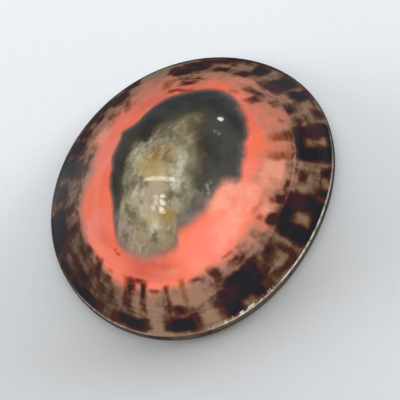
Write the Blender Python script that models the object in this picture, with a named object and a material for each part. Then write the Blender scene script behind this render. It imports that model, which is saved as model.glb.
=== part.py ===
"""A polished limpet shell, standing on its rim at its real size, in metres, +Z up.

The shell is one piece: a thick-walled oval cap, open underneath. X runs along the shell with the
head end at -X, and the origin is in the middle of the rim, on the surface that the shell rests on.

A limpet grows by adding to its rim, so every growth line is a smaller copy of the rim, and all of
them close in on the apex, which lies nearer the head end. The shell is made the same way. Two round
sheets, the outside and the hollow, are spun from profiles. Each ring of them is then drawn out to
the oval of the rim and moved towards the apex by its share of the way up, and a flat ring joins the
two sheets where the shell stands. Last, the whole is fitted to its length and width.
"""

import math

import bmesh
import bpy

MM = 0.001

# Driving dimensions of the whole shell.
LENGTH = 65.7 * MM
WIDTH = 57.1 * MM
HEIGHT = 24.8 * MM
APEX_TO_HEAD = 8.1 * MM

# How full the dome is: 1 would be a straight cone and 2 a bowl. The rounding is the share of the
# radius over which the apex is worn round.
DOME_FULLNESS = 1.62
APEX_ROUNDING = 0.20

# The lip: its outer face stands upright, a fillet leads up from it to the dome, and the edges of the
# flat ring under it are worn round.
LIP_HEIGHT = 1.6 * MM
LIP_FILLET = 1.6 * MM
LIP_WIDTH = 1.9 * MM
BASE_ROUND = 0.35 * MM

# The wall is thickest at the apex, and the hollow is a little blunter than the outside.
APEX_WALL = 3.0 * MM
HOLLOW_FULLNESS = 1.70
HOLLOW_LIP_HEIGHT = 0.35 * MM

# The rim isn't a true oval: (waves round the rim, cosine share, sine share) of the radius.
RIM_WAVES = ((1, -0.0072, -0.0024), (3, 0.0016, -0.0136), (4, -0.0055, 0.0))

# Growth ledges left by the polish: (share of the way from apex to rim, height, bearing in degrees,
# half span in degrees). A ledge rises slowly from above and drops below its line.
LEDGES = (
    (0.60, 0.16 * MM, 205, 70),
    (0.78, 0.24 * MM, 300, 62),
    (0.86, 0.18 * MM, 248, 58),
    (0.83, 0.16 * MM, 60, 75),
)
LEDGE_RISE = 0.12
LEDGE_FALL = 0.035

# Two slow swells round the dome, (waves, height, phase in degrees), which keep it from looking turned.
SWELLS = ((3, 0.16 * MM, 20), (5, 0.10 * MM, 140))

SEGMENTS = 84
OUTER_RINGS = 25
HOLLOW_RINGS = 15
FILLET_STEPS = 4
ROUND_STEPS = 2

RADIUS = LENGTH / 2
WIDTH_SHARE = WIDTH / LENGTH
SHELL_COLOUR = (0.80, 0.24, 0.14, 1.0)
SHELL_ROUGHNESS = 0.12


def dome(share, fullness):
    """Height of the dome, 1 at the apex and 0 at the rim, at a share of the way from apex to rim."""

    def drop(at):
        return (at * at + APEX_ROUNDING * APEX_ROUNDING) ** (fullness / 2)

    return (drop(1.0) - drop(share)) / (drop(1.0) - drop(0.0))


def dome_slope(share):
    """Angle of the outside below the horizontal, in the round profile, at a share of the radius."""
    step = 1e-4
    fall = dome(share - step, DOME_FULLNESS) - dome(share + step, DOME_FULLNESS)
    return math.atan2(fall * (HEIGHT - LIP_HEIGHT), 2 * step * RADIUS)


def arc(centre_x, centre_z, radius, start, end, steps):
    """Points of an arc, without its first one. Angles are from +X towards +Z."""
    angles = [start + (end - start) * i / steps for i in range(1, steps + 1)]
    return [(centre_x + radius * math.cos(a), centre_z + radius * math.sin(a)) for a in angles]


def outer_profile():
    """The outside from the apex down the dome, over the lip's fillet and down its upright face."""
    slope = dome_slope(0.985)
    shoulder_x = RADIUS - LIP_FILLET * (1 - math.sin(slope))
    points = []
    for i in range(OUTER_RINGS + 1):
        share = shoulder_x / RADIUS * i / OUTER_RINGS
        points.append((share * RADIUS, LIP_HEIGHT + (HEIGHT - LIP_HEIGHT) * dome(share, DOME_FULLNESS)))
    fillet_z = points[-1][1] - LIP_FILLET * math.cos(slope)
    points += arc(RADIUS - LIP_FILLET, fillet_z, LIP_FILLET, math.pi / 2 - slope, 0.0, FILLET_STEPS)
    points.append((RADIUS, BASE_ROUND))
    points += arc(RADIUS - BASE_ROUND, BASE_ROUND, BASE_ROUND, 0.0, -math.pi / 2, ROUND_STEPS)
    return points


def hollow_profile():
    """The inside from the flat ring under the lip up to the roof of the hollow, on the axis."""
    mouth = RADIUS - LIP_WIDTH
    corner_x = mouth + BASE_ROUND
    points = [(corner_x, 0.0)]
    points += arc(corner_x, BASE_ROUND, BASE_ROUND, -math.pi / 2, -math.pi, ROUND_STEPS)
    roof = HEIGHT - APEX_WALL
    for i in range(1, HOLLOW_RINGS + 1):
        share = 1 - i / HOLLOW_RINGS
        height = HOLLOW_LIP_HEIGHT + (roof - HOLLOW_LIP_HEIGHT) * dome(share, HOLLOW_FULLNESS)
        points.append((share * mouth, height))
    return points


def rim_radius(bearing):
    """The rim's radius along X as a share of the plain oval's, at a bearing in radians."""
    share = 1.0
    for waves, cosine, sine in RIM_WAVES:
        share += cosine * math.cos(waves * bearing) + sine * math.sin(waves * bearing)
    return share


def ledge_height(share, bearing):
    """How far the growth ledges lift the outside at a share of the way to the rim and a bearing."""
    lift = 0.0
    for at, height, middle, half_span in LEDGES:
        off = math.remainder(bearing - math.radians(middle), math.tau) / math.radians(half_span)
        if abs(off) >= 1:
            continue
        width = LEDGE_RISE if share < at else LEDGE_FALL
        nearness = max(0.0, 1 - abs(share - at) / width)
        lift += height * nearness * nearness * (3 - 2 * nearness) * math.cos(off * math.pi / 2) ** 2
    return lift


def swell_height(share, bearing):
    """The slow swells, which die out at the apex and at the rim."""
    fade = math.sin(math.pi * min(1.0, share)) ** 2
    return fade * sum(h * math.cos(n * bearing + math.radians(p)) for n, h, p in SWELLS)


def spun_sheet(body, profile):
    """Spins a profile round the Z axis into the bmesh and returns the sheet's vertices."""
    old = set(body.verts)
    corners = [body.verts.new((x, 0.0, z)) for x, z in profile]
    edges = [body.edges.new(pair) for pair in zip(corners, corners[1:])]
    bmesh.ops.spin(
        body, geom=corners + edges, cent=(0, 0, 0), axis=(0, 0, 1), angle=math.tau,
        steps=SEGMENTS, use_merge=True,
    )
    sheet = [v for v in body.verts if v not in old]
    on_axis = [v for v in sheet if math.hypot(v.co.x, v.co.y) < 1e-7]
    bmesh.ops.remove_doubles(body, verts=on_axis, dist=1e-6)
    return [v for v in body.verts if v not in old]


def draw_out(vertices, relief):
    """Moves a round sheet's vertices to the oval, leaning shell, with the outside's relief if asked."""
    for v in vertices:
        share = math.hypot(v.co.x, v.co.y) / RADIUS
        bearing = math.atan2(v.co.y, v.co.x)
        reach = share * RADIUS * rim_radius(bearing)
        if relief:
            v.co.z += ledge_height(share, bearing) + swell_height(share, bearing)
        v.co.x = reach * math.cos(bearing) - APEX_TO_HEAD * (1 - share)
        v.co.y = reach * math.sin(bearing) * WIDTH_SHARE


def fit_to_size(vertices):
    """Brings the shell to its exact length and width, with the middle of its box over the origin."""
    for axis, size in ((0, LENGTH), (1, WIDTH)):
        places = [v.co[axis] for v in vertices]
        middle = (min(places) + max(places)) / 2
        stretch = size / (max(places) - min(places))
        for v in vertices:
            v.co[axis] = (v.co[axis] - middle) * stretch


def shell_mesh():
    """The closed shell: the outside, the hollow and the flat ring between them."""
    body = bmesh.new()
    outside = spun_sheet(body, outer_profile())
    hollow = spun_sheet(body, hollow_profile())
    draw_out(outside, relief=True)
    draw_out(hollow, relief=False)
    bmesh.ops.bridge_loops(body, edges=[e for e in body.edges if e.is_boundary])
    fit_to_size(body.verts)
    bmesh.ops.recalc_face_normals(body, faces=body.faces)
    mesh = bpy.data.meshes.new("shell")
    body.to_mesh(mesh)
    body.free()
    mesh.shade_smooth()
    mesh.set_sharp_from_angle(angle=math.radians(35))
    return mesh


def shell_material():
    material = bpy.data.materials.new("polished_shell")
    material.use_nodes = True
    shader = material.node_tree.nodes["Principled BSDF"]
    shader.inputs["Base Color"].default_value = SHELL_COLOUR
    shader.inputs["Roughness"].default_value = SHELL_ROUGHNESS
    shader.inputs["Metallic"].default_value = 0.0
    return material


def main():
    for old in list(bpy.data.objects):
        bpy.data.objects.remove(old)
    collection = bpy.data.collections.new("limpet_shell")
    bpy.context.scene.collection.children.link(collection)
    shell = bpy.data.objects.new("shell", shell_mesh())
    shell.data.materials.append(shell_material())
    collection.objects.link(shell)


main()
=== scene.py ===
# %% [markdown]
# # A polished limpet shell
# The measured model gives one piece, `shell`, at its real size. This lesson makes the fine shell that
# stands for it: a dense mesh from the same profiles, and a painted finish that follows the way a
# limpet grows. The model is loaded first, because every size below is worked out from it.

import math

import bmesh
import bpy
import numpy as np
from mathutils import Matrix, Vector, noise


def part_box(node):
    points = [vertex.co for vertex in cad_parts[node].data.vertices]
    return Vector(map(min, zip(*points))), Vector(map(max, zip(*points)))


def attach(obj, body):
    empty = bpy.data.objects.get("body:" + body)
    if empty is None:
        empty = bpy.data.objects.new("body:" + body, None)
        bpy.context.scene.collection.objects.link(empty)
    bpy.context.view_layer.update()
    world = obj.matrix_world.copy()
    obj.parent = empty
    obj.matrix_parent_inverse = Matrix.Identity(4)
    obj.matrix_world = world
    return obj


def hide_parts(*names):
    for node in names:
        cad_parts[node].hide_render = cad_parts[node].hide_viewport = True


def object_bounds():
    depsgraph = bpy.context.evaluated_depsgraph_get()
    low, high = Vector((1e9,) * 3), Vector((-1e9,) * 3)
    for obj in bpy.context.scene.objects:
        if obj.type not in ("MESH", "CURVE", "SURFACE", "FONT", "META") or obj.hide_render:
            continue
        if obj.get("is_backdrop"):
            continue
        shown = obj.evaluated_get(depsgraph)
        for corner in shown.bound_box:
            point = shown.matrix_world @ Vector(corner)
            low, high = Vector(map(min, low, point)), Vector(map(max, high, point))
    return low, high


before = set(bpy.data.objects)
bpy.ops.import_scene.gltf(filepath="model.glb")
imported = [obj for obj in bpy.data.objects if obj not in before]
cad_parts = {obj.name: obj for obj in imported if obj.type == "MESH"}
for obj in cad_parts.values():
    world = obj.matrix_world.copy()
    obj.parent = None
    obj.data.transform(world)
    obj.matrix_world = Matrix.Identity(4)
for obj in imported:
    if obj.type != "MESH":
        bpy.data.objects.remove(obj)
cad_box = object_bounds()
MM = 0.001
low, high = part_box("shell")
LENGTH = high.x - low.x
WIDTH = high.y - low.y
HEIGHT = high.z
print(f"shell: {LENGTH / MM:.1f} x {WIDTH / MM:.1f} x {HEIGHT / MM:.1f} mm")

# %% [markdown]
# ## The camera
# The photo looks down on the shell from the front left and is turned a little on its side. A camera is
# placed by its bearing and its rise, then rolled. The shell isn't quite in the middle of the photo, so
# the camera slides sideways by the same amount. It is made first, so that every later step is judged
# from the right place.

# %% Place the camera
PHOTO_PIXELS = 400
FOCAL_PIXELS = 1392
CAMERA_DISTANCE = 290 * MM
CAMERA_BEARING = math.radians(-41.2)
CAMERA_RISE = math.radians(62.0)
CAMERA_ROLL = math.radians(22.0)
ORIGIN_PIXEL = (191.15, 191.86)
SENSOR_WIDTH = 36.0


def camera_axes(bearing, rise, roll):
    """The camera's right, up and back directions."""
    right = Vector((math.cos(bearing), math.sin(bearing), 0.0))
    back = Vector((math.sin(bearing) * math.cos(rise), -math.cos(bearing) * math.cos(rise), math.sin(rise)))
    up = back.cross(right)
    rolled_right = right * math.cos(roll) - up * math.sin(roll)
    rolled_up = right * math.sin(roll) + up * math.cos(roll)
    return rolled_right, rolled_up, back


right, up, back = camera_axes(CAMERA_BEARING, CAMERA_RISE, CAMERA_ROLL)
metres_per_pixel = CAMERA_DISTANCE / FOCAL_PIXELS
middle = PHOTO_PIXELS / 2
place = back * CAMERA_DISTANCE
place += right * (middle - ORIGIN_PIXEL[0]) * metres_per_pixel
place -= up * (middle - ORIGIN_PIXEL[1]) * metres_per_pixel
lens = bpy.data.cameras.new("photo_camera")
lens.sensor_width = SENSOR_WIDTH
lens.lens = SENSOR_WIDTH * FOCAL_PIXELS / PHOTO_PIXELS
lens.clip_start = 0.01
camera = bpy.data.objects.new("photo_camera", lens)
turned = Matrix((right, up, back)).transposed().to_4x4()
camera.matrix_world = Matrix.Translation(place) @ turned
bpy.context.scene.collection.objects.link(camera)
bpy.context.scene.camera = camera
print(f"camera at {tuple(round(c, 4) for c in place)}, lens {lens.lens:.0f} mm")

# %% [markdown]
# ## The form
# A limpet adds shell only at its rim, so each growth line is a smaller copy of it that closes in on
# the apex. The mesh is made the same way: a sheet is spun from a profile, then each ring is drawn out
# and moved. A scaled sphere could look alike, but its rings wouldn't be growth lines, which the finish
# needs.

# %% The profile's sizes
RADIUS = LENGTH / 2
WIDTH_SHARE = WIDTH / LENGTH
APEX_TO_HEAD = 8.1 * MM
DOME_FULLNESS = 1.62
APEX_ROUNDING = 0.2
LIP_HEIGHT = 1.6 * MM
LIP_FILLET = 0.6 * MM
LIP_WIDTH = 1.9 * MM
BASE_ROUND = 0.35 * MM
APEX_WALL = 3.0 * MM
HOLLOW_FULLNESS = 1.7
HOLLOW_LIP_HEIGHT = 0.35 * MM
SEGMENTS = 440
OUTER_RINGS = 122
HOLLOW_RINGS = 60
FILLET_STEPS = 7
ROUND_STEPS = 3


def dome(share, fullness):
    """Height of the dome, 1 at the apex and 0 at the rim, at a share of the way from apex to rim."""

    def drop(at):
        return (at * at + APEX_ROUNDING * APEX_ROUNDING) ** (fullness / 2)

    return (drop(1.0) - drop(share)) / (drop(1.0) - drop(0.0))


def dome_slope(share):
    """Angle of the outside below the horizontal at a share of the radius."""
    step = 1e-4
    fall = dome(share - step, DOME_FULLNESS) - dome(share + step, DOME_FULLNESS)
    return math.atan2(fall * (HEIGHT - LIP_HEIGHT), 2 * step * RADIUS)


def arc(centre_x, centre_z, radius, start, end, steps):
    """Points of an arc, without its first one. Angles are from +X towards +Z."""
    angles = [start + (end - start) * i / steps for i in range(1, steps + 1)]
    return [(centre_x + radius * math.cos(a), centre_z + radius * math.sin(a)) for a in angles]


def outer_profile():
    """The outside from the apex down the dome, over the lip's fillet and down its upright face."""
    slope = dome_slope(0.985)
    shoulder_x = RADIUS - LIP_FILLET * (1 - math.sin(slope))
    points = []
    for i in range(OUTER_RINGS + 1):
        share = shoulder_x / RADIUS * i / OUTER_RINGS
        points.append((share * RADIUS, LIP_HEIGHT + (HEIGHT - LIP_HEIGHT) * dome(share, DOME_FULLNESS)))
    fillet_z = points[-1][1] - LIP_FILLET * math.cos(slope)
    points += arc(RADIUS - LIP_FILLET, fillet_z, LIP_FILLET, math.pi / 2 - slope, 0.0, FILLET_STEPS)
    points.append((RADIUS, (fillet_z + BASE_ROUND) / 2))
    points.append((RADIUS, BASE_ROUND))
    points += arc(RADIUS - BASE_ROUND, BASE_ROUND, BASE_ROUND, 0.0, -math.pi / 2, ROUND_STEPS)
    return points


def hollow_profile():
    """The inside from the flat ring under the lip up to the roof of the hollow, on the axis."""
    mouth = RADIUS - LIP_WIDTH
    corner_x = mouth + BASE_ROUND
    points = [(corner_x, 0.0)]
    points += arc(corner_x, BASE_ROUND, BASE_ROUND, -math.pi / 2, -math.pi, ROUND_STEPS)
    roof = HEIGHT - APEX_WALL
    for i in range(1, HOLLOW_RINGS + 1):
        share = 1 - i / HOLLOW_RINGS
        height = HOLLOW_LIP_HEIGHT + (roof - HOLLOW_LIP_HEIGHT) * dome(share, HOLLOW_FULLNESS)
        points.append((share * mouth, height))
    return points


print(len(outer_profile()), "points down the outside,", len(hollow_profile()), "up the hollow")

# %% [markdown]
# ## The relief
# The rim waves, old growth lines stand as low ledges, fine lines crowd towards the rim, and the wheel
# leaves slow hollows that bend the reflections. A bump could fake them, but real height shows from
# every side.

# %% The rim's waves, the ledges and the swells
RIM_WAVES = ((1, -0.0072, -0.0024), (3, 0.0016, -0.0136), (4, -0.0055, 0.0))
LEDGES = (
    (0.6, 0.16 * MM, 205, 70),
    (0.78, 0.24 * MM, 300, 62),
    (0.86, 0.18 * MM, 248, 58),
    (0.83, 0.16 * MM, 60, 75),
)
LEDGE_RISE = 0.12
LEDGE_FALL = 0.035
SWELLS = ((3, 0.16 * MM, 20), (5, 0.1 * MM, 140))
FINE_LINES = 34
FINE_LINE_HEIGHT = 0.016 * MM
FINE_LINES_FROM = 0.45
POLISH_HOLLOW_SIZE = 7.0 * MM
POLISH_HOLLOW_DEPTH = 0.05 * MM
RIDGE_AT = 0.982
RIDGE_HALF_WIDTH = 0.018
RIDGE_HEIGHT = 0.1 * MM


def rim_radius(bearing):
    """The rim's radius along X as a share of the plain oval's, at a bearing in radians."""
    share = 1.0
    for waves, cosine, sine in RIM_WAVES:
        share += cosine * math.cos(waves * bearing) + sine * math.sin(waves * bearing)
    return share


def hump(off, half_width):
    """1 at no distance, and falling smoothly to 0 at the half width."""
    nearness = max(0.0, 1 - abs(off) / half_width)
    return nearness * nearness * (3 - 2 * nearness)


def ledge_height(share, bearing):
    """How far the growth ledges lift the outside at a share of the way to the rim and a bearing."""
    lift = 0.0
    for at, height, middle_bearing, half_span in LEDGES:
        off = math.remainder(bearing - math.radians(middle_bearing), math.tau) / math.radians(half_span)
        if abs(off) >= 1:
            continue
        width = LEDGE_RISE if share < at else LEDGE_FALL
        lift += height * hump(share - at, width) * math.cos(off * math.pi / 2) ** 2
    return lift


def swell_height(share, bearing):
    """The slow swells, which die out at the apex and at the rim."""
    fade = math.sin(math.pi * min(1.0, share)) ** 2
    return fade * sum(h * math.cos(n * bearing + math.radians(p)) for n, h, p in SWELLS)


def ridge_height(share):
    """The low ridge along the top of the lip, where the wheel turned round the edge."""
    return RIDGE_HEIGHT * hump(share - RIDGE_AT, RIDGE_HALF_WIDTH)


def fine_height(share, bearing, point):
    """Fine growth lines, which grow towards the rim, and the hollows that the polishing wheel left."""
    drift = 0.35 * noise.noise(Vector((2 * math.cos(bearing), 2 * math.sin(bearing), 5 * share)))
    line = math.sin(math.tau * (FINE_LINES * share ** 1.3 + drift))
    strength = max(0.0, share - FINE_LINES_FROM) / (1 - FINE_LINES_FROM)
    hollows = noise.noise(point / POLISH_HOLLOW_SIZE) * min(1.0, 6 * share)
    return FINE_LINE_HEIGHT * strength * line + POLISH_HOLLOW_DEPTH * hollows * math.sin(math.pi * share)


print(f"highest ledge {max(height for _, height, _, _ in LEDGES) / MM:.2f} mm")

# %% [markdown]
# ## Spin, draw out and close
# The outside and the hollow are spun as two open sheets. Each point keeps its growth share and its
# bearing in layers, because they are lost once the rings are drawn out. Bridging the two open edges
# makes the flat ring that the shell stands on.

# %% Make the mesh
OUTSIDE = 0
HOLLOW = 1
SCAR_AT = 0.5
SCAR_HALF_WIDTH = 0.035
SCAR_HEIGHT = 0.1 * MM
GROOVES = 46
GROOVE_DEPTH = 0.035 * MM
GROOVES_FROM = 0.55


def spun_sheet(body, profile):
    """Spins a profile round the Z axis and returns the sheet's vertices.

    Many steps are slow, so a quarter is spun, then copied three times and welded.
    """
    old = set(body.verts)
    corners = [body.verts.new((x, 0.0, z)) for x, z in profile]
    edges = [body.edges.new(pair) for pair in zip(corners, corners[1:])]
    spin = {"cent": (0, 0, 0), "axis": (0, 0, 1)}
    bmesh.ops.spin(body, geom=corners + edges, angle=math.pi / 2, steps=SEGMENTS // 4, **spin)
    quarter = [v for v in body.verts if v not in old]
    faces = {face for v in quarter for face in v.link_faces}
    bmesh.ops.spin(
        body, geom=quarter + list(faces), angle=3 * math.pi / 2, steps=3, use_duplicate=True, **spin
    )
    sheet = [v for v in body.verts if v not in old]
    bmesh.ops.remove_doubles(body, verts=sheet, dist=1e-6)
    return [v for v in body.verts if v not in old]


def hollow_height(share, bearing):
    """The hollow's own relief: the ridge round the muscle scar, open at the head, and faint grooves."""
    open_at_head = max(0.0, math.cos(bearing - math.pi)) ** 6
    ridge = math.exp(-(((share - SCAR_AT) / SCAR_HALF_WIDTH) ** 2)) * (1 - open_at_head)
    reach = max(0.0, share - GROOVES_FROM) / (1 - GROOVES_FROM)
    grooves = math.cos(GROOVES * bearing) * reach * max(0.0, 1 - share) * 4
    return -SCAR_HEIGHT * ridge + GROOVE_DEPTH * grooves


def draw_out(vertices, layers, height_at):
    """Moves a round sheet's vertices to the oval, leaning shell and stores their share and bearing."""
    for v in vertices:
        share = math.hypot(v.co.x, v.co.y) / RADIUS
        bearing = math.atan2(v.co.y, v.co.x)
        v[layers["share"]] = share
        v[layers["bearing"]] = bearing
        reach = share * RADIUS * rim_radius(bearing)
        v.co.z += height_at(share, bearing, v.co)
        v.co.x = reach * math.cos(bearing) - APEX_TO_HEAD * (1 - share)
        v.co.y = reach * math.sin(bearing) * WIDTH_SHARE


def fit_to_size(vertices):
    """Brings the shell to its exact length and width, with the middle of its box over the origin."""
    for axis, size in ((0, LENGTH), (1, WIDTH)):
        places = [v.co[axis] for v in vertices]
        middle_place = (min(places) + max(places)) / 2
        stretch = size / (max(places) - min(places))
        for v in vertices:
            v.co[axis] = (v.co[axis] - middle_place) * stretch


def outside_relief(share, bearing, point):
    """Everything that lifts the outside above its profile. The lip below the dome stays plain."""
    if point.z < LIP_HEIGHT:
        return 0.0
    slow = ledge_height(share, bearing) + swell_height(share, bearing) + ridge_height(share)
    return slow + fine_height(share, bearing, point)


def hollow_relief(share, bearing, point):
    """The hollow's relief, which leaves the flat ring alone."""
    if point.z <= BASE_ROUND:
        return 0.0
    return hollow_height(share / (1 - LIP_WIDTH / RADIUS), bearing)


def shell_mesh():
    """The closed shell, with its growth shares and bearings."""
    body = bmesh.new()
    layers = {name: body.verts.layers.float.new(name) for name in ("share", "bearing")}
    outside = spun_sheet(body, outer_profile())
    outside_faces = set(body.faces)
    hollow = spun_sheet(body, hollow_profile())
    for face in body.faces:
        face.material_index = OUTSIDE if face in outside_faces else HOLLOW
    draw_out(outside, layers, outside_relief)
    draw_out(hollow, layers, hollow_relief)
    bmesh.ops.bridge_loops(body, edges=[e for e in body.edges if e.is_boundary])
    fit_to_size(body.verts)
    bmesh.ops.recalc_face_normals(body, faces=body.faces)
    mesh = bpy.data.meshes.new("polished_shell")
    body.to_mesh(mesh)
    body.free()
    mesh.shade_smooth()
    return mesh


mesh = shell_mesh()
mesh.calc_loop_triangles()
print(f"{len(mesh.vertices)} points, {len(mesh.loop_triangles)} triangles")

# %% [markdown]
# ## Where each colour lies
# The polish cut deepest round the apex, so the layers show as rings: the pale core, a black layer, a
# coral one, and the tortoiseshell skin. The rings aren't even, so each edge is a list of places, read
# one by one: a bearing in degrees and the way from apex to rim in thousandths. The shader roughens them.

# %% Edges of the layers
CORE_EDGE = (
    (0, 405), (7, 370), (15, 320), (24, 295), (32, 290), (39, 255), (44, 185), (51, 175), (57, 215),
    (66, 240), (76, 240), (86, 215), (96, 205), (106, 185), (116, 185), (126, 195), (134, 215), (143, 245),
    (151, 260), (158, 295), (163, 345), (168, 420), (173, 520), (185, 560), (200, 560), (212, 540),
    (219, 520), (223, 460), (228, 390), (240, 365), (252, 350), (261, 320), (268, 300), (280, 290),
    (290, 285), (305, 295), (320, 285), (335, 310), (345, 370), (352, 410),
)
RING_EDGE = (
    (0, 625), (10, 600), (20, 565), (30, 530), (40, 490), (48, 445), (57, 395), (65, 390), (75, 415),
    (82, 370), (90, 350), (100, 345), (108, 325), (115, 310), (130, 330), (140, 340), (150, 360),
    (157, 385), (162, 425), (167, 470), (172, 520), (178, 555), (190, 570), (200, 570), (212, 550),
    (218, 535), (221, 510), (223, 465), (226, 445), (245, 435), (254, 450), (265, 435), (270, 430),
    (275, 450), (278, 475), (281, 510), (285, 520), (290, 510), (300, 510), (311, 510), (314, 530),
    (317, 550), (325, 560), (335, 580), (345, 605), (352, 620),
)
CORAL_EDGE = (
    (0, 720), (20, 630), (35, 600), (50, 600), (65, 580), (80, 570), (90, 570), (100, 500), (112, 470),
    (122, 520), (132, 600), (145, 650), (158, 680), (170, 720), (182, 745), (198, 745), (212, 720),
    (225, 700), (240, 695), (255, 680), (263, 685), (270, 675), (285, 620), (300, 620), (315, 640),
    (328, 660), (338, 620), (347, 650),
)
# How wide the coral's fade into the skin is, where 1 takes about a tenth of the way.
CORAL_FADE = (
    (0, 1.3), (20, 1), (34, 1.5), (50, 2.6), (60, 1.2), (78, 1), (90, 1), (105, 0.8), (135, 0.6),
    (150, 0.5), (165, 0.4), (185, 0.35), (215, 0.35), (240, 0.4), (258, 0.7), (270, 1.2), (285, 1.3),
    (320, 1.4), (335, 1.3),
)
# How black the ring is, in hundredths: it turns to clouded grey at the near left and is missing where
# the core's lobe reaches the coral.
RING_BLACKNESS = (
    (0, 100), (155, 90), (164, 50), (175, 10), (215, 5), (224, 20), (245, 25), (260, 35), (266, 80),
    (272, 100),
)


def around(places, bearing, unit=1):
    """The value at each bearing, from a closed ring of (bearing in degrees, value in a unit) places."""
    bearings, values = zip(*places)
    return np.interp(bearing, bearings, np.divide(values, unit), period=360)


print(f"{len(CORE_EDGE)}, {len(RING_EDGE)} and {len(CORAL_EDGE)} places on the three edges")

# %% [markdown]
# ## The tortoiseshell marks
# The dark marks were laid down as the rim grew, in rays that start and stop. No texture repeats here:
# each blotch has its own place. So each is a soft oval, given by its bearing in degrees, its place from
# apex to rim in thousandths, half its width in degrees, half its length in thousandths, and its tone in
# hundredths: weak marks are rusty, middling ones maroon and strong ones nearly black. Holes are pale
# spots inside a dark mark.

# %% The marks, ray by ray


def spots(*rows):
    """Soft ovals, with shares of 1 instead of thousandths and hundredths."""
    return [(turn, at / 1000, width, length / 1000, tone / 100) for turn, at, width, length, tone in rows]


MARKS = spots(
    # Near left: two stirrup-shaped rays, their feet and rows of dashes.
    (190.8, 718, 5.2, 18, 70), (188.6, 762, 1.8, 44, 82), (186.2, 790, 1.6, 45, 62),
    (186.4, 840, 2.4, 46, 56), (195.2, 764, 1.9, 44, 82), (194.4, 840, 2, 48, 56), (191, 882, 4.5, 6, 42),
    (201.3, 755, 2.2, 10, 55), (207.4, 750, 1.5, 22, 60), (207.2, 815, 1.4, 60, 42),
    (214.9, 730, 1.4, 24, 52), (214.6, 800, 1.6, 45, 32), (222, 728, 2.4, 10, 55),
    (210.8, 862, 2.6, 22, 74), (210.8, 936, 6.4, 33, 100), (188.4, 944, 7, 29, 100),
    (231.6, 755, 1.9, 48, 58),
    # Near side: the big black patch, with strokes above it.
    (241.8, 702, 2.4, 8, 50), (241.6, 742, 2.2, 12, 52), (243.5, 772, 2.6, 10, 50),
    (248.3, 697, 1.6, 7, 42), (240.4, 858, 8.6, 58, 100), (236.8, 922, 9.6, 52, 100),
    (230.8, 862, 3, 36, 80), (256.2, 845, 3.2, 28, 80), (256.8, 960, 4.4, 18, 80), (251, 880, 1.6, 30, 42),
    (260.6, 905, 1.6, 45, 62),
    # Near right: a black block with a window, and rust above it.
    (275.3, 892, 10.2, 106, 100), (268.6, 768, 3, 36, 72), (279.2, 768, 2.4, 34, 70),
    (266.5, 703, 1.8, 12, 45), (277.3, 712, 1.6, 14, 45), (270.5, 662, 5, 12, 28), (287, 765, 2.3, 9, 58),
    (292.7, 840, 3.2, 24, 66), (288.2, 962, 2, 28, 85), (296.6, 962, 2.4, 28, 85),
    (292.6, 938, 3.6, 9, 70), (303.5, 768, 3.2, 7, 55), (303.5, 742, 2.8, 6, 45),
    # Right: the widest block, with its window, and two rusty rays.
    (309.6, 895, 8.4, 112, 100), (319.6, 834, 2.6, 18, 66), (302.4, 700, 3.2, 66, 34),
    (313, 720, 2.8, 55, 36), (323, 742, 2, 12, 34), (328.4, 822, 2.8, 21, 80), (323.6, 952, 2.6, 24, 80),
    (334.4, 928, 2.9, 45, 85), (333.4, 748, 2.6, 11, 42), (334.4, 786, 2.2, 10, 40), (329, 972, 3, 12, 60),
    (341, 680, 3.2, 36, 52), (345, 722, 5.4, 20, 62), (344.2, 822, 5.6, 34, 64), (343.8, 910, 3.9, 60, 88),
    (353.5, 657, 2.8, 16, 36), (356.8, 912, 3, 55, 95), (0.8, 835, 3.2, 34, 66),
    # Far right: scattered strokes, then a long patch near the rim.
    (12, 832, 3.8, 21, 80), (25, 582, 7, 14, 48), (30.5, 592, 4, 16, 60), (24.5, 662, 4.6, 24, 62),
    (22.5, 706, 7, 9, 50), (37.8, 680, 2.8, 52, 45), (24, 850, 4, 50, 78), (32, 820, 4.4, 45, 88),
    (37.5, 868, 3.2, 52, 72), (20, 930, 7, 30, 75), (28, 905, 5, 40, 80), (9, 905, 1.8, 30, 55),
    (14, 955, 6, 18, 70),
    # Far side: a pale ray, then smoky streaks.
    (63, 665, 1.9, 75, 55), (60, 615, 2.2, 30, 32), (70, 632, 1.8, 18, 42), (73.5, 690, 2.2, 45, 38),
    (65.5, 850, 5.2, 85, 72), (59, 925, 4.2, 50, 70), (72.5, 900, 3.6, 60, 68), (79, 812, 2.6, 40, 60),
    (80, 925, 5, 45, 66), (88, 870, 3, 90, 68),
    # Far left: the longest black rays, under a rusty line.
    (97, 745, 2.8, 40, 58), (96.3, 855, 3.8, 105, 98), (111.5, 655, 4.6, 40, 60),
    (108.5, 735, 5.2, 60, 82), (105, 830, 4.8, 70, 98), (103, 920, 4.4, 60, 98), (107.5, 592, 6.5, 10, 52),
    (101.8, 600, 1.8, 16, 60), (116.8, 862, 4.2, 70, 78), (112, 940, 3, 30, 66), (133, 900, 8.6, 95, 100),
    (129, 760, 2.6, 55, 68), (140.6, 762, 2.5, 55, 76), (134, 680, 2.4, 11, 58), (139.8, 696, 2.6, 13, 66),
    (145.8, 712, 3.6, 8, 42), (156.6, 712, 2.6, 15, 62), (166.3, 748, 1.9, 38, 74),
    (164.3, 715, 2, 14, 62), (149.8, 854, 4.4, 20, 66), (160, 880, 4.2, 38, 80), (167, 885, 2.4, 12, 38),
    (174.6, 768, 1.5, 15, 60), (175.2, 722, 1.5, 10, 40), (162.8, 952, 9.8, 32, 100),
    (148.6, 956, 5.4, 28, 82), (174.6, 585, 1.2, 10, 40), (143.5, 880, 2, 40, 60),
    (163.6, 800, 1.8, 40, 52), (171, 840, 2.4, 30, 46), (153, 770, 3.4, 22, 42), (123, 800, 2.6, 30, 46),
    (178, 830, 1.6, 50, 34), (177.2, 610, 1.6, 7, 46),
)
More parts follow.
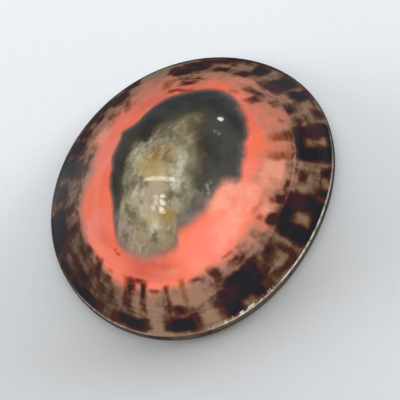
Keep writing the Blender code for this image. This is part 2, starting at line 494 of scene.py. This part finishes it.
HOLES = spots(
    (191.4, 795, 1.9, 62, 100), (237.8, 968, 2.3, 32, 90), (256.6, 903, 2.8, 38, 100),
    (275.6, 903, 3.3, 46, 100), (292.6, 972, 1.9, 30, 100), (309.8, 905, 2.6, 60, 100),
    (350.4, 900, 2.2, 48, 100), (134.6, 762, 2.6, 40, 90), (33.6, 915, 1.6, 32, 60),
    (99.3, 890, 1.5, 35, 60), (5.5, 885, 2.4, 30, 60),
)
MARK_SQUARENESS = 5.5
MARK_SOFTNESS = 0.85 * MM
HOLE_SOFTNESS = 1.1 * MM
SMALL_SPOT_SOFTNESS = 1.3
HALO_WIDTH = 1.8 * MM
HALO_TAKEN_BY_HOLES = 0.8
DOME_LENGTH = 39 * MM
WARP_BEARING = 1.4
WARP_SHARE = 0.015


def wrapped(degrees):
    """A difference of bearings, from -180 to 180 degrees."""
    return (degrees + 180) % 360 - 180


def eased(value, start, end):
    """0 below the start, 1 above the end and smooth between them."""
    part = np.clip((value - start) / (end - start), 0, 1)
    return part * part * (3 - 2 * part)


def depth_inside(spot, bearing, share):
    """How far each point lies inside a soft oval, in metres, and half the oval's least width."""
    spot_bearing, spot_share, half_bearing, half_share, _ = spot
    across = np.abs(wrapped(bearing - spot_bearing)) / half_bearing
    along = np.abs(share - spot_share) / half_share
    edge = (across ** MARK_SQUARENESS + along ** MARK_SQUARENESS) ** (1 / MARK_SQUARENESS)
    half_width = min(math.radians(half_bearing) * spot_share * RADIUS, half_share * DOME_LENGTH)
    return (1 - edge) * half_width, half_width


def cover(spot, bearing, share, softness):
    """A soft oval's cover, which is 1 well inside it and 0 outside. A small oval has a crisper edge."""
    depth, half_width = depth_inside(spot, bearing, share)
    soft = min(softness, SMALL_SPOT_SOFTNESS * half_width)
    return eased(depth, -soft, soft)


def strongest(ovals, bearing, share, softness):
    """The strength of the strongest oval at each point, from 0 to 1."""
    strength = np.zeros_like(bearing)
    for spot in ovals:
        strength = np.maximum(strength, spot[-1] * cover(spot, bearing, share, softness))
    return strength


def mark_strength(bearing, share):
    """The tone of the tortoiseshell at each point, from 0 to 1."""
    tone = strongest(MARKS, bearing, share, MARK_SOFTNESS)
    for spot in HOLES:
        tone *= 1 - spot[-1] * cover(spot, bearing, share, HOLE_SOFTNESS)
    return tone


def halo_strength(bearing, share):
    """How close each point is to a dark mark. The skin is browner there."""
    halo = np.zeros_like(bearing)
    for spot in MARKS:
        depth, _ = depth_inside(spot, bearing, share)
        halo = np.maximum(halo, spot[-1] * eased(depth, -HALO_WIDTH, 0))
    for spot in HOLES:
        taken = HALO_TAKEN_BY_HOLES * spot[-1]
        halo *= 1 - taken * cover(spot, bearing, share, HOLE_SOFTNESS)
    return halo


print(len(MARKS), "marks and", len(HOLES), "holes")

# %% [markdown]
# ## Stains
# The core is clouded, with stains of ochre, rosy grey, umber and chalk. The coral deepens and pales,
# and where it pales on the near side it is partly a painted sheen. A painted highlight runs along the
# lip's top edge in places, and a pale one along a ledge. All of them are soft ovals like the marks. Two
# lists by bearing say how brown the skin is between its marks and how pale the lip is.

# %% The stains
STAINS = {
    "ochre": spots(
        (350, 120, 16, 36, 100), (8, 115, 14, 32, 80), (322, 110, 22, 26, 60), (222, 340, 8, 45, 80),
        (120, 160, 20, 25, 40), (30, 80, 30, 30, 50), (204, 505, 18, 32, 25), (5, 90, 24, 45, 100),
        (0, 30, 190, 40, 35),
    ),
    "rose": spots(
        (184, 430, 13, 90, 100), (205, 450, 10, 50, 50), (202, 140, 30, 34, 45), (214, 240, 16, 90, 50),
        (140, 170, 16, 40, 60), (255, 60, 30, 20, 50),
    ),
    "umber": spots(
        (236, 240, 8, 32, 100), (150, 240, 14, 45, 90), (28, 225, 10, 30, 80), (48, 210, 6, 40, 80),
        (103, 155, 9, 25, 70), (340, 210, 12, 30, 80), (350, 310, 13, 60, 90), (275, 300, 14, 14, 80),
        (318, 285, 14, 20, 70), (218, 445, 4.5, 50, 70), (245, 320, 6, 30, 50), (12, 340, 8, 30, 60),
        (200, 460, 18, 90, 28),
    ),
    "chalk": spots(
        (256, 190, 9, 60, 100), (295, 170, 26, 35, 75), (75, 110, 22, 22, 80), (68, 180, 30, 18, 60),
        (190, 300, 5, 30, 90), (207, 405, 5, 36, 100), (174, 260, 5, 40, 60), (268, 385, 6, 16, 70),
        (125, 100, 26, 30, 80), (186, 220, 12, 70, 70),
    ),
    "plum": spots(
        (230.5, 860, 5, 60, 100), (246.5, 850, 3.5, 40, 80), (281.5, 850, 3.5, 50, 100),
        (268.5, 760, 4, 40, 100), (279, 760, 3, 36, 80), (315.5, 870, 3.5, 80, 100), (344, 790, 7, 70, 90),
        (160, 880, 5, 40, 60), (28, 860, 9, 60, 70), (97, 740, 4, 40, 70), (109, 700, 5, 50, 50),
        (140.5, 790, 3.5, 70, 60),
    ),
    "deep": spots(
        (201, 640, 15, 55, 100), (165, 560, 8, 30, 40), (330, 600, 9, 30, 30), (46, 530, 14, 60, 60),
        (22, 600, 14, 30, 50),
    ),
    # Pale coral. The first two, wide ovals on the near side, are a painted sheen.
    "pale": spots(
        (268, 540, 15, 110, 100), (250, 600, 12, 70, 70), (292, 680, 8, 60, 80),
        (271.8, 708, 2.6, 26, 100), (350, 780, 10, 30, 40), (87, 610, 6, 90, 80), (215, 660, 9, 20, 50),
        (157, 650, 9, 30, 50),
    ),
    # A painted highlight along the lip's top edge, and a broken one just inside it on the near side.
    "worn": spots(
        (268, 990, 28, 10, 100), (232, 990, 8, 10, 80), (176, 990, 14, 10, 60), (309, 990, 6, 10, 40),
    ),
    "broken_lip_highlight": spots((235, 981, 9.5, 14, 100)),
    # A pale painted highlight along a ledge, with a rusty line just above it.
    "ledge_highlight_and_rust": spots((297, 780, 15, 30, 100), (252, 745, 10, 30, 40)),
}
STAIN_SOFTNESS = 1.2 * MM
# The vector attributes that hold them. The last three are fine, so they aren't bent by noise.
STAIN_VECTORS = {
    "stain": ("ochre", "rose", "umber"),
    "cast": ("chalk", "deep", "pale"),
    "highlights_and_ledge_rust": ("worn", "broken_lip_highlight", "ledge_highlight_and_rust"),
}
FINE_STAINS = STAIN_VECTORS["highlights_and_ledge_rust"]
# How brown the skin is between its marks, in hundredths.
SKIN_BROWNNESS = (
    (0, 30), (10, 30), (25, 50), (40, 30), (48, 5), (56, 10), (64, 50), (72, 45), (82, 35), (95, 60),
    (105, 60), (115, 80), (125, 75), (140, 100), (155, 100), (165, 90), (175, 80), (187, 60), (200, 15),
    (215, 25), (225, 15), (235, 50), (250, 65), (262, 65), (275, 50), (286, 30), (300, 45), (310, 45),
    (325, 25), (335, 45), (350, 55),
)
# How pale the lip is, in hundredths.
LIP_PALENESS = (
    (0, 5), (150, 10), (165, 35), (180, 50), (205, 55), (222, 75), (262, 75), (285, 45), (300, 15),
    (330, 5),
)

print(sum(map(len, STAINS.values())), "stains of", len(STAINS), "kinds")

# %% [markdown]
# ## Store it all on the mesh
# The places are worked out once, at every point of the mesh, and kept as vector attributes. Noise that
# follows the growth first bends the bearing and the share, so that every mark gets its own ragged
# shape. Its seed is fixed, so the shapes stay the same. The shader only adds what is finer.

# %% Store the attributes
WARP_GRAIN = (9, 9, 11)
WARP_SEED = 2
OCTAVE_STEP = 2.3
OCTAVE_STRENGTH = 0.6


def read_layer(mesh, name):
    """A float layer of the mesh as an array."""
    values = np.empty(len(mesh.vertices), np.float32)
    mesh.attributes[name].data.foreach_get("value", values)
    return values.astype(float)


def store_vector(mesh, name, columns):
    """Stores three arrays as one vector attribute."""
    attribute = mesh.attributes.new(name, "FLOAT_VECTOR", "POINT")
    attribute.data.foreach_set("vector", np.column_stack(columns).astype(np.float32).ravel())


def growth_noise(cosines, sines, share):
    """Two octaves of noise in the directions of bearing and growth, as an array of vectors."""
    grain = np.column_stack((cosines, sines, share)) * WARP_GRAIN
    bends = []
    for place in map(Vector, grain):
        second = noise.noise_vector(place * OCTAVE_STEP)
        bends.append(noise.noise_vector(place) + OCTAVE_STRENGTH * second)
    return np.array(bends)


noise.seed_set(WARP_SEED)
share = read_layer(mesh, "share")
radians = read_layer(mesh, "bearing")
cosines, sines = np.cos(radians), np.sin(radians)
bend = growth_noise(cosines, sines, share)
true_bearing = np.degrees(radians) % 360.0
bearing = (true_bearing + WARP_BEARING * bend[:, 0]) % 360.0
bent_share = share + WARP_SHARE * bend[:, 1] * eased(share, 0.1, 0.4)
store_vector(mesh, "turn", (cosines, sines, share))
edges = (CORE_EDGE, RING_EDGE, CORAL_EDGE)
past_core, past_ring, past_coral = [share - around(edge, true_bearing, 1000) for edge in edges]
store_vector(mesh, "past", (past_core, past_ring, past_coral / around(CORAL_FADE, true_bearing)))
stains = {}
for name in STAINS:
    place = (true_bearing, share) if name in FINE_STAINS else (bearing, bent_share)
    stains[name] = strongest(STAINS[name], *place, STAIN_SOFTNESS)
marks = mark_strength(bearing, bent_share)
halo = halo_strength(bearing, bent_share)
store_vector(mesh, "tone", (marks, halo, stains["plum"]))
by_bearing = (RING_BLACKNESS, LIP_PALENESS, SKIN_BROWNNESS)
store_vector(mesh, "band", [around(places, bearing, 100) for places in by_bearing])
for vector, names in STAIN_VECTORS.items():
    store_vector(mesh, vector, [stains[name] for name in names])
for name in ("share", "bearing"):
    mesh.attributes.remove(mesh.attributes[name])
print("attributes:", ", ".join(a.name for a in mesh.attributes if a.domain == "POINT"))

# %% [markdown]
# ## Shader maths as Python
# A finish with a dozen masks is easier to read as sums than as a drawing of nodes. A `Wire` wraps a
# socket, so that Python's operators add Math nodes. A `Board` adds every other node with one method.

# %% The Wire and the Board
BUMP_SCALE = 0.3 * MM


class Wire:
    """An output socket on a board. Operators on it add Math nodes."""

    def __init__(self, board, socket):
        self.board = board
        self.socket = socket

    def __add__(self, other):
        return self.board.maths("ADD", self, other)

    def __sub__(self, other):
        return self.board.maths("SUBTRACT", self, other)

    def __rsub__(self, other):
        return self.board.maths("SUBTRACT", other, self)

    def __mul__(self, other):
        return self.board.maths("MULTIPLY", self, other)

    __radd__ = __add__
    __rmul__ = __mul__

    def sway(self, size):
        """A noise from 0 to 1, moved to swing about 0 and given a size."""
        return (self - 0.5) * size


class Board:
    """The nodes of a material or of the world."""

    def __init__(self, owner):
        self.owner = owner
        owner.use_nodes = True
        self.tree = owner.node_tree

    def plug(self, socket, value):
        """Links a wire to a socket, or sets the socket to a plain value."""
        if isinstance(value, Wire):
            self.tree.links.new(value.socket, socket)
        else:
            socket.default_value = value

    def add(self, kind, settings=None, sockets=None, output=0):
        """Adds a node, sets it up, fills its sockets and returns one of its outputs."""
        node = self.tree.nodes.new("ShaderNode" + kind)
        for name, value in (settings or {}).items():
            setattr(node, name, value)
        for name, value in (sockets or {}).items():
            self.plug(node.inputs[name], value)
        return Wire(self, node.outputs[output])

    def maths(self, operation, first, second=0.0):
        return self.add("Math", {"operation": operation}, {0: first, 1: second})

    def attribute(self, name):
        """A vector attribute's three numbers."""
        vector = self.add("Attribute", {"attribute_name": name}, output="Vector")
        return self.parts(vector)

    def parts(self, vector):
        return [self.add("SeparateXYZ", None, {0: vector}, output=i) for i in range(3)]

    def grown(self, turn, around, along):
        """A place for noise that follows the growth, with its grain round the shell and rimwards."""
        cosine, sine, growth = turn
        sockets = {0: cosine * around, 1: sine * around, 2: growth * along}
        return self.add("CombineXYZ", None, sockets)

    def step(self, value, start, end):
        """0 below the start, 1 above the end and smooth between them."""
        sockets = {"Value": value, "From Min": start, "From Max": end}
        return self.add("MapRange", {"interpolation_type": "SMOOTHSTEP"}, sockets)

    def band(self, value, start, full, fall, end):
        """1 from full to fall, and 0 before the start and after the end."""
        return self.step(value, start, full) * (1 - self.step(value, fall, end))

    def cloud(self, where, scale, detail=3, roughness=0.5):
        """Noise from 0 to 1, mostly between 0.3 and 0.7."""
        sockets = {"Vector": where, "Scale": scale, "Detail": detail, "Roughness": roughness}
        return self.add("TexNoise", None, sockets)

    def mix(self, amount, first, second, blend="MIX"):
        """A colour between two colours, or with MULTIPLY the first one seen through the second."""
        sockets = {"Factor": amount, 6: first, 7: second}
        return self.add("Mix", {"data_type": "RGBA", "blend_type": blend}, sockets, output=2)

    def coats(self, colour, *coats):
        """Lays coats over a colour, each one an amount and a paint."""
        for amount, coat in coats:
            colour = self.mix(amount, colour, coat)
        return colour

    def bump(self, height, strength):
        """A normal from a height from 0 to 1, for what is finer than the mesh."""
        sockets = {"Height": height, "Strength": strength, "Distance": BUMP_SCALE}
        return self.add("Bump", None, sockets)

    def finish(self, node_name, sockets):
        """Fills the sockets of the closing shader and returns what the board belongs to."""
        for name, value in sockets.items():
            self.plug(self.tree.nodes[node_name].inputs[name], value)
        return self.owner


def paint(*chart):
    """A colour for a socket, from the 0 to 255 red, green and blue of a paint chart."""
    shares = [number / 255 for number in chart]
    linear = [s / 12.92 if s <= 0.04 else ((s + 0.055) / 1.055) ** 2.4 for s in shares]
    return (*linear, 1.0)


print("mid grey in linear light:", round(paint(128, 128, 128)[0], 3))

# %% [markdown]
# ## The outside
# The finish is built from the apex outwards, in the order in which the polish laid the layers bare.
# Noise along the growth lines, noise along the rays and plain clouds roughen every edge, so that none
# looks drawn.

# %% Paint the outside
OLIVE = paint(116, 110, 90)
KHAKI = paint(170, 162, 134)
SAND = paint(196, 172, 118)
OCHRE = paint(146, 112, 48)
ROSE = paint(172, 144, 138)
UMBER = paint(80, 70, 54)
CHALK = paint(206, 202, 180)
SMOKE = paint(130, 122, 118)
BLACK_LAYER = paint(55, 57, 58)
RING_GREY = paint(86, 84, 78)
BROWN_BLACK = paint(62, 56, 44)
MAUVE = paint(116, 100, 98)
CORAL = paint(255, 135, 116)
DEEP_CORAL = paint(255, 123, 92)
DARK_CORAL = paint(205, 92, 72)
PINK_CORAL = paint(255, 146, 122)
PALE_CORAL = paint(255, 176, 150)
SALMON = paint(205, 132, 110)
TAN = paint(160, 122, 104)
BUFF = paint(150, 122, 100)
BROWN = paint(82, 60, 46)
RUST = paint(178, 98, 60)
DARK_RUST = paint(98, 58, 44)
ORANGE_TINT = (0.68, 0.45, 0.2, 1.0)
DARK_TINT = (0.46, 0.3, 0.24, 1.0)
MAROON = paint(74, 40, 40)
PLUM = paint(66, 38, 44)
NIGHT = paint(36, 37, 42)
LIP_DARK = paint(34, 32, 31)
LIP_OLIVE = paint(112, 96, 80)
# The colour of the painted highlight along the lip's top edge.
LIP_HIGHLIGHT_COLOUR = paint(236, 230, 216)


def core_layer(board, growth, noises, stains):
    """The pale core, with its clouds, stains and streaks."""
    cloud, wide, fleck, streak = noises
    step = board.step
    streaky = cloud + fleck.sway(0.7) + streak.sway(0.6)
    at_apex = (1 - step(growth, 0.04, 0.13)) * step(streaky, 0.24, 0.58)
    shade = cloud + streak.sway(0.6)
    return board.coats(
        OLIVE,
        (step(cloud + wide.sway(0.5), 0.35, 0.62), KHAKI),
        (step(wide, 0.48, 0.7) * 0.45 + at_apex * 0.75, SAND),
        (stains["rose"] * step(streaky, 0.16, 0.7), ROSE),
        (stains["ochre"] * step(streaky, 0.2, 0.54), OCHRE),
        (stains["umber"] * step(shade, 0.22, 0.55) * 0.9, UMBER),
        (step(shade, 0.44, 0.22) * 0.4, UMBER),
        (step(streak + fleck.sway(0.3), 0.5, 0.74) * 0.5, CHALK),
    )


def ring_layers(board, core, past_core, past_ring, blackness, noises, chalk):
    """The core's edge and the black layer, which is brown where it begins and mauve where it ends."""
    cloud, wide, fleck, streak = noises
    step = board.step
    smoke = board.mix(step(cloud, 0.3, 0.7) * 0.7, SMOKE, UMBER)
    past = past_core + cloud.sway(0.1) + fleck.sway(0.04)
    black = board.mix(step(past, 0, 0.1), BROWN_BLACK, BLACK_LAYER)
    black = board.mix(step(wide + streak.sway(0.3), 0.36, 0.62) * 0.6, black, RING_GREY)
    ring = board.mix(step(blackness + cloud.sway(0.4), 0.35, 0.75), smoke, black)
    edge = past_ring + cloud.sway(0.035) + fleck.sway(0.015)
    colour = board.coats(
        core,
        (step(past, -0.075, -0.01) * blackness * 0.6, BROWN_BLACK),
        (step(past, -0.035, 0.025), ring),
        (chalk * step(fleck + streak.sway(0.6), 0.3, 0.62) * 0.8, CHALK),
        (board.band(edge, -0.045, -0.005, 0, 0.02) * blackness * 0.65, MAUVE),
    )
    return colour, edge * (blackness * 0.65 + 0.35)


def coral_layers(board, below, edge, past_coral, growth, noises, stains):
    """The coral layer, then salmon, tan and buff, which fade into each other towards the rim."""
    ray, fine_ray, line, cloud, wide, blotch = noises
    step = board.step
    coral = board.coats(
        DEEP_CORAL,
        (step(wide + ray.sway(0.25), 0.34, 0.6), CORAL),
        (step(fine_ray * 0.4 + cloud * 0.6, 0.48, 0.72) * 0.45, PINK_CORAL),
        (stains["deep"] * 0.75, DARK_CORAL),
    )
    fade = past_coral + ray.sway(0.05) + cloud.sway(0.08) + blotch.sway(0.14)
    colour = board.coats(
        below,
        (step(edge, -0.016, 0.024), coral),
        (step(fade, -0.05, 0.05), SALMON),
        # Pale coral, and on the near side a painted sheen.
        (stains["pale"] * step(cloud + fine_ray.sway(0.4), 0.22, 0.6) * 0.75, PALE_CORAL),
        (step(fade, 0.04, 0.15), TAN),
        (step(growth + line.sway(0.1) + wide.sway(0.25), 0.76, 0.92), BUFF),
    )
    return colour, fade


def skin_layer(board, below, fade, growth, tone, brownness, noises, fleck):
    """The tortoiseshell skin: brown clouds, then marks, rusty where they are weak and black in full."""
    ray, _, line, cloud, wide, blotch = noises
    marks, halo, plum = tone
    step = board.step
    ragged = line.sway(0.5) + ray.sway(0.4) + cloud.sway(0.8) + fleck.sway(0.4)
    brown = step(blotch + halo * 0.12 + brownness * 0.42 + ragged * 0.4 + growth * 0.2, 0.72, 1.08)
    mottle = step(cloud + (line + ray + fleck - 1.5) * 0.3, 0.34, 0.64)
    colour = board.mix(brown * step(fade, 0.02, 0.16) * (0.58 + mottle * 0.4), below, BROWN)
    broken = step(marks, 0.03, 0.35) * (1 - step(marks, 0.6, 1) * 0.8)
    depth = marks * (1.05 + ragged * 0.3) + ragged * 0.38 * broken
    tint = board.mix(step(halo, 0.38, 0.6), ORANGE_TINT, DARK_TINT)
    night = board.mix(plum * step(wide + cloud.sway(0.5), 0.3, 0.6) * 0.85, NIGHT, PLUM)
    return board.coats(
        board.mix(step(depth, 0.04, 0.38) * 0.85, colour, tint, "MULTIPLY"),
        (step(depth, 0.28, 0.62), MAROON),
        (step(depth, 0.55, 0.88), night),
        (step(line, 0.56, 0.74) * step(growth, 0.5, 0.9) * 0.18, MAROON),
    )


def ledge_lines(board, below, growth, ledge_highlight_and_rust, ray, fleck):
    """The painted highlight, a pale line along an old growth ledge, and the rusty line just above it."""
    at = growth + ray.sway(0.01)
    # A pale painted highlight along the ledge's edge.
    pale = board.band(at, 0.777, 0.783, 0.785, 0.792) * board.step(fleck, 0.3, 0.6)
    rusty = board.band(at, 0.765, 0.769, 0.772, 0.776) * board.step(ray, 0.42, 0.6)
    return board.coats(below, (rusty * ledge_highlight_and_rust * 0.6, DARK_RUST), (pale * ledge_highlight_and_rust * 0.35, PALE_CORAL))


def lip_layer(board, below, growth, height, far, paleness, noises, fleck, stains):
    """The lip's upright face, dark at its foot, and the painted highlight along its top edge."""
    ray, fine_ray, _, cloud, _, _ = noises
    step = board.step
    patches = step(cloud + ray.sway(0.5) + paleness * 0.5, 0.58, 0.8)
    above_foot = step(height, 0.6 * MM, 0.9 * MM)
    middle_height = above_foot * (1 - step(height, 1.1 * MM, 1.5 * MM) * 0.6)
    # Painted shade: the rim is darkened on the far side.
    far_rim_shade = step(growth + far * 0.012, 0.965, 0.992) * step(far, -0.1, 0.6)
    # A painted highlight along the lip's top edge, broken up by flecks.
    line = board.band(growth, 0.984, 0.988, 0.992, 0.996) * (0.4 + step(fleck, 0.4, 0.6) * 0.6)
    strokes = step(fine_ray + fleck.sway(0.8), 0.46, 0.6)
    return board.coats(
        below,
        (step(growth, 0.99, 0.997) * 0.92, board.mix(patches * middle_height, LIP_DARK, LIP_OLIVE)),
        (far_rim_shade * 0.85, LIP_DARK),
        # The painted highlight on the lip's top edge, then the broken one just inside it.
        (line * stains["worn"], LIP_HIGHLIGHT_COLOUR),
        (board.band(growth, 0.972, 0.979, 0.988, 0.993) * stains["broken_lip_highlight"] * strokes * 0.85, LIP_HIGHLIGHT_COLOUR),
    )


def outside_finish():
    """The polished outside, from the pale core to the dark lip."""
    board = Board(bpy.data.materials.new("polished_outside"))
    turn = board.attribute("turn")
    growth = turn[2]
    past_core, past_ring, past_coral = board.attribute("past")
    tone = board.attribute("tone")
    blackness, lip_paleness, brownness = board.attribute("band")
    stains = {}
    for vector, names in STAIN_VECTORS.items():
        stains.update(zip(names, board.attribute(vector)))
    where = board.add("TexCoord", output="Object")
    rays = board.grown(turn, 26, 3)
    ray = board.cloud(rays, 1)
    fine_ray = board.cloud(rays, 3.2, 2)
    line = board.cloud(board.grown(turn, 2.2, 60), 1)
    blotch = board.cloud(board.grown(turn, 8, 13), 1, 3, 0.55)
    cloud = board.cloud(where, 280)
    fleck = board.cloud(where, 1100)
    wide = board.cloud(where, 110, 2)
    slant = {"Vector": where, "Rotation": (0, 0, math.radians(15)), "Scale": (160, 520, 200)}
    streak = board.cloud(board.add("Mapping", None, slant), 1, 3, 0.6)
    core_noises = (cloud, wide, fleck, streak)
    noises = (ray, fine_ray, line, cloud, wide, blotch)

    core = core_layer(board, growth, core_noises, stains)
    colour, edge = ring_layers(board, core, past_core, past_ring, blackness, core_noises, stains["chalk"])
    colour, fade = coral_layers(board, colour, edge, past_coral, growth, noises, stains)
    colour = skin_layer(board, colour, fade, growth, tone, brownness, noises, fleck)
    colour = ledge_lines(board, colour, growth, stains["ledge_highlight_and_rust"], ray, fleck)
    far = turn[0] * 0.66 + turn[1] * 0.75
    height = board.parts(where)[2]
    colour = lip_layer(board, colour, growth, height, far, lip_paleness, noises, fleck, stains)

    relief = line.sway(0.5) + fleck.sway(0.25) + cloud.sway(0.5)
    normal = board.bump(relief, 0.08)
    rimward_polish = 1 - board.step(growth, 0.45, 0.8) * 0.6
    near_polish = 1 - board.step(far, 0.35, 0.8) * 0.85
    return board.finish("Principled BSDF", {
        "Base Color": colour, "Roughness": 0.25 + board.step(fleck, 0.3, 0.8) * 0.15, "Normal": normal,
        "Specular IOR Level": 0.0, "Coat Weight": rimward_polish * near_polish,
        "Coat Roughness": 0.05, "Coat IOR": 1.25, "Coat Normal": normal,
    })


outside = outside_finish()
print(len(outside.node_tree.nodes), "nodes paint the outside")

# %% [markdown]
# ## The hollow
# The photo doesn't show the underside. Limpets of this kind are silvery inside, with a darker callus
# under the apex, a horseshoe-shaped muscle scar round it that opens at the head, and a margin where
# the tortoiseshell shines through. The same growth shares place all of it.

# %% Paint the hollow
SILVER = paint(198, 200, 196)
PEARL = paint(214, 198, 190)
BLUE_GREY = paint(150, 160, 166)
CALLUS = paint(132, 100, 74)
CALLUS_PALE = paint(176, 150, 120)
SCAR = paint(188, 180, 166)


def hollow_finish():
    """The silvery inside, with its callus, its scar and its see-through margin."""
    board = Board(bpy.data.materials.new("silvery_hollow"))
    step = board.step
    turn = board.attribute("turn")
    marks, _, _ = board.attribute("tone")
    where = board.add("TexCoord", output="Object")
    ray = board.cloud(board.grown(turn, 20, 2), 1)
    line = board.cloud(board.grown(turn, 1.5, 30), 1)
    cloud = board.cloud(where, 150)
    fleck = board.cloud(where, 700)
    edge = turn[2] + cloud.sway(0.09)
    scar = board.band(edge, 0.4, 0.44, 0.5, 0.53) * step(turn[0] + 0.85, 0, 0.2)
    callus = board.mix(step(cloud + fleck.sway(0.3), 0.35, 0.65), CALLUS, CALLUS_PALE)
    margin = step(edge, 0.8, 0.93)
    tone = (marks + line.sway(0.3) + ray.sway(0.3)) * margin
    colour = board.coats(
        SILVER,
        (step(line + cloud.sway(0.6), 0.35, 0.65), PEARL),
        (step(ray + cloud.sway(0.5), 0.42, 0.66) * 0.6, BLUE_GREY),
        (scar * 0.8, SCAR),
        ((1 - step(edge, 0.34, 0.43)) * 0.9, callus),
        (margin * 0.55, BUFF),
        (step(tone, 0.15, 0.55) * 0.85, RUST),
        (step(tone, 0.5, 0.9) * 0.85, MAROON),
    )
    return board.finish("Principled BSDF", {
        "Base Color": colour, "Roughness": 0.16 + step(cloud, 0.3, 0.8) * 0.16,
        "Normal": board.bump(line * 0.5 + cloud, 0.1),
    })


hollow = hollow_finish()
print(len(hollow.node_tree.nodes), "nodes paint the hollow")

# %% [markdown]
# ## Put the shell in the frame
# The fine shell rides on the only body and stands for the model's plain one.

# %% The shell's object
shell = bpy.data.objects.new("polished_shell", mesh)
for material in (outside, hollow):
    mesh.materials.append(material)
bpy.context.scene.collection.objects.link(shell)
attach(shell, "root")
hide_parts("shell")

# %% [markdown]
# ## Floor and light
# The photo was taken on a pale surface under soft light, so the shadow is wide and faint. The shell and
# the floor are matched one at a time: three softboxes light only the shell, and three lights only the
# floor. The small lights only add reflections: a tube overhead for the pale arc by the apex, two thin
# strips for the streaks on the black layer, and a window of six panes.

# %% The floor
FLOOR_SIZE = 3.0
FLOOR_DROP = 0.02 * MM


def floor_finish():
    """Pale, faintly clouded card."""
    board = Board(bpy.data.materials.new("pale_card"))
    where = board.add("TexCoord", output="Object")
    cloud = board.cloud(where, 14)
    grain = board.cloud(where, 600, 2)
    colour = board.mix(board.step(cloud, 0.3, 0.7) * 0.5, paint(232, 234, 235), paint(227, 229, 230))
    colour = board.mix(board.step(grain, 0.4, 0.8) * 0.15, colour, paint(218, 220, 221))
    return board.finish("Principled BSDF", {"Base Color": colour, "Roughness": 0.65 + grain * 0.1})


def make_floor():
    body = bmesh.new()
    bmesh.ops.create_grid(body, x_segments=1, y_segments=1, size=FLOOR_SIZE / 2)
    bmesh.ops.translate(body, verts=body.verts, vec=(0, 0, -FLOOR_DROP))
    floor_mesh = bpy.data.meshes.new("floor")
    body.to_mesh(floor_mesh)
    body.free()
    floor_mesh.materials.append(floor_finish())
    floor = bpy.data.objects.new("floor", floor_mesh)
    bpy.context.scene.collection.objects.link(floor)
    floor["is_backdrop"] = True
    return floor


floor = make_floor()
print("floor", FLOOR_SIZE, "m wide")

# %% The lights
HORIZON = (0.14, 0.133, 0.12, 1.0)
ZENITH = (0.27, 0.255, 0.225, 1.0)
FAR_SIDE = 48.8
NEAR_SIDE = FAR_SIDE + 180
FLOOR_LIGHT_COLOUR = (0.96, 1, 1.07)
# Each light's name, bearing and rise in degrees, distance, size in metres and brightness, then its roll.
SOFTBOXES = (
    ("far_softbox", FAR_SIDE, 33, 0.45, (0.3, 0.2), 2.2),
    ("near_softbox", NEAR_SIDE, 40, 0.8, (0.5, 0.3), 5.6),
    ("overhead", NEAR_SIDE, 75, 0.7, (0.4, 0.4), 4.2),
)
FLOOR_LIGHTS = (
    ("floor_main", 42, 25, 0.7, (1.24, 0.46), 3.6),
    ("floor_left", 333, 16, 0.7, (0.46, 0.25), 12.5),
    ("floor_right", 117, 16, 0.7, (0.46, 0.25), 10.5),
)
STRIPS = (
    ("tube", 38.5, 86.5, 0.85, (0.12, 0.86), 22, 81),
    ("streak", 4.7, 17.5, 0.6, (0.075, 0.0025), 210, -18),
    ("small_streak", 352, 27, 0.6, (0.08, 0.006), 24, -6),
)
WINDOW_BEARING = 210.5
WINDOW_RISE = 57.5
WINDOW_DISTANCE = 0.6
PANE_SIZE = (0.075, 0.05)
PANE_STEP = 6.5
PANE_SLANT = 8.0
COLUMN_STEP = 10.0
# Each column's side of the window and its brightness.
COLUMNS = ((-1, 18), (1, 32))


def make_light(name, bearing, rise, distance, size, brightness, roll=0.0):
    """A rectangular light that faces the shell, by its bearing round Z from +X and its rise.

    Its brightness is that of its face.
    """
    light = bpy.data.lights.new(name, "AREA")
    light.shape = "RECTANGLE"
    light.size, light.size_y = size
    light.energy = brightness * math.pi * size[0] * size[1]
    lamp = bpy.data.objects.new(name, light)
    turn, tilt = math.radians(bearing), math.radians(rise)
    direction = Vector((math.cos(turn) * math.cos(tilt), math.sin(turn) * math.cos(tilt), math.sin(tilt)))
    facing = direction.to_track_quat("Z", "Y").to_matrix().to_4x4()
    spin = Matrix.Rotation(math.radians(roll), 4, "Z")
    lamp.matrix_world = Matrix.Translation(direction * distance) @ facing @ spin
    bpy.context.scene.collection.objects.link(lamp)
    return lamp


def light_only(lamp, receiver, gloss):
    """Keeps a light to one object, and there to its gloss or to its own colour."""
    receivers = bpy.data.collections.new(lamp.name + "_receivers")
    receivers.objects.link(receiver)
    lamp.light_linking.receiver_collection = receivers
    lamp.visible_diffuse = not gloss
    lamp.visible_glossy = gloss


def make_sky():
    """A soft sky, dim near the horizon and brighter overhead."""
    board = Board(bpy.data.worlds.new("soft_sky"))
    direction = board.add("TexCoord", output="Generated")
    _, _, rise = board.parts(direction)
    colour = board.mix(board.step(rise, 0.0, 0.9), HORIZON, ZENITH)
    bpy.context.scene.world = board.finish("Background", {"Color": colour, "Strength": 1.0})


def window_panes():
    """The panes of the window, as rows like those of the other lights."""
    for column, brightness in COLUMNS:
        for row in (-1, 0, 1):
            bearing = WINDOW_BEARING + column * COLUMN_STEP + row * PANE_SLANT
            rise = WINDOW_RISE + row * PANE_STEP
            name = f"pane_{column}_{row}"
            yield name, bearing, rise, WINDOW_DISTANCE, PANE_SIZE, brightness


make_sky()
for row in SOFTBOXES:
    light_only(make_light(*row), shell, gloss=False)
for row in FLOOR_LIGHTS:
    floor_light = make_light(*row)
    floor_light.data.color = FLOOR_LIGHT_COLOUR
    light_only(floor_light, floor, gloss=False)
for row in (*STRIPS, *window_panes()):
    light_only(make_light(*row), shell, gloss=True)
bpy.context.scene.view_settings.view_transform = "Standard"
print(len(bpy.data.lights), "lights")

# %% Sizes, and the end of the scene
boxes = {"cad": cad_box, "visual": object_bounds()}
{name: [list(corner) for corner in box] for name, box in boxes.items()}
